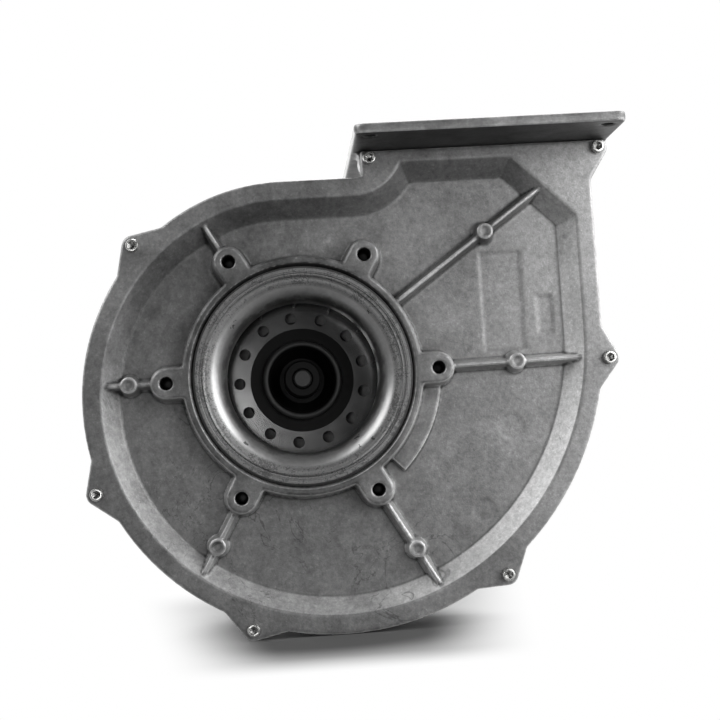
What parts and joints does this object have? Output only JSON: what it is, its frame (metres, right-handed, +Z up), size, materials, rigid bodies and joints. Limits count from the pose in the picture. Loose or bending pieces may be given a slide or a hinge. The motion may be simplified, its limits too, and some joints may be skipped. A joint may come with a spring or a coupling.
{
  "type": "radial boiler blower",
  "caption": "Radial combustion air blower with a scroll casing, square outlet flange, bolted inlet pad and brushless motor on rubber mounts.",
  "frame": {"origin": "centre of the inlet bolt circle, on the face that the inlet parts bolt to; the shaft's axis passes through it", "axes": "-Y along the shaft, out of the inlet towards the viewer; +Y back to the motor; +Z up, out of the outlet flange; +X to the right, towards the duct"},
  "size_m": [0.2906, 0.197, 0.2616],
  "materials": {
    "cast_aluminium": "die-cast, oxidised and stained",
    "motor_casting": "die-cast, shot-blasted",
    "machined_aluminium": "turned, tarnished",
    "wheel_aluminium": "bright rolled sheet",
    "black_metal": "black, semi-matt",
    "zinc_steel": "zinc-plated",
    "shaft_steel": "ground",
    "bearing_steel": "polished",
    "cage_brass": "pressed",
    "lamination_steel": "varnished laminations",
    "magnet": "sintered",
    "winding_copper": "enamelled wire",
    "black_rubber": "moulded",
    "gasket_sheet": "pressed sheet",
    "insulator_plastic": "moulded",
    "board_laminate": "solder resist",
    "component_black": "moulded",
    "capacitor_can": "sleeved",
    "choke_ferrite": "coated",
    "header_plastic": "moulded",
    "hood_plastic": "fine texture"
  },
  "bodies": {
    "housing": {"casing_cover": "cast_aluminium", "casing_gasket": "gasket_sheet", "casing_rear": "cast_aluminium", "cover_screws": "zinc_steel", "inlet_nozzle": "machined_aluminium", "nozzle_seal": "black_rubber", "front_bearing_outer_ring": "bearing_steel", "rear_bearing_outer_ring": "bearing_steel", "motor_flange": "motor_casting", "shaft_seal": "black_rubber", "motor_seal": "black_rubber", "mount_grommets": "black_rubber", "mount_sleeves": "zinc_steel", "mount_washers": "zinc_steel", "mount_screws": "zinc_steel", "motor_can": "motor_casting", "stator_core": "lamination_steel", "stator_insulators": "insulator_plastic", "stator_coils": "winding_copper", "rear_end_shield": "motor_casting", "preload_washer": "bearing_steel", "through_bolts": "zinc_steel", "circuit_board": "board_laminate", "board_screws": "zinc_steel", "smoothing_capacitors": "capacitor_can", "line_choke": "choke_ferrite", "power_module": "component_black", "angle_sensor": "component_black", "mains_header": "header_plastic", "signal_header": "header_plastic", "electronics_hood": "hood_plastic", "hood_screws": "zinc_steel"},
    "rotor": {"wheel_back_plate": "wheel_aluminium", "wheel_shroud": "wheel_aluminium", "wheel_blades": "wheel_aluminium", "wheel_hub": "black_metal", "shaft": "shaft_steel", "retaining_ring": "shaft_steel", "front_bearing_inner_ring": "bearing_steel", "rear_bearing_inner_ring": "bearing_steel", "rotor_core": "lamination_steel", "rotor_magnets": "magnet", "sensor_magnet": "magnet"},
    "front_ball_set": {"front_bearing_balls": "bearing_steel", "front_bearing_cage": "cage_brass"},
    "rear_ball_set": {"rear_bearing_balls": "bearing_steel", "rear_bearing_cage": "cage_brass"}
  },
  "joints": [
    {"name": "rotor_spin", "type": "hinge", "parent": "housing", "child": "rotor", "pos_m": [0, 0.0476, 0], "axis": [0, -1, 0], "continuous": true},
    {"name": "front_bearing_roll", "type": "hinge", "parent": "housing", "child": "front_ball_set", "pos_m": [0, 0.068, 0], "axis": [0, -1, 0], "continuous": true},
    {"name": "rear_bearing_roll", "type": "hinge", "parent": "housing", "child": "rear_ball_set", "pos_m": [0, 0.1265, 0], "axis": [0, -1, 0], "continuous": true}
  ],
  "couplings": [
    {"joint": "front_bearing_roll", "follows": "rotor_spin", "ratio": 0.3678},
    {"joint": "rear_bearing_roll", "follows": "rotor_spin", "ratio": 0.3678}
  ]
}
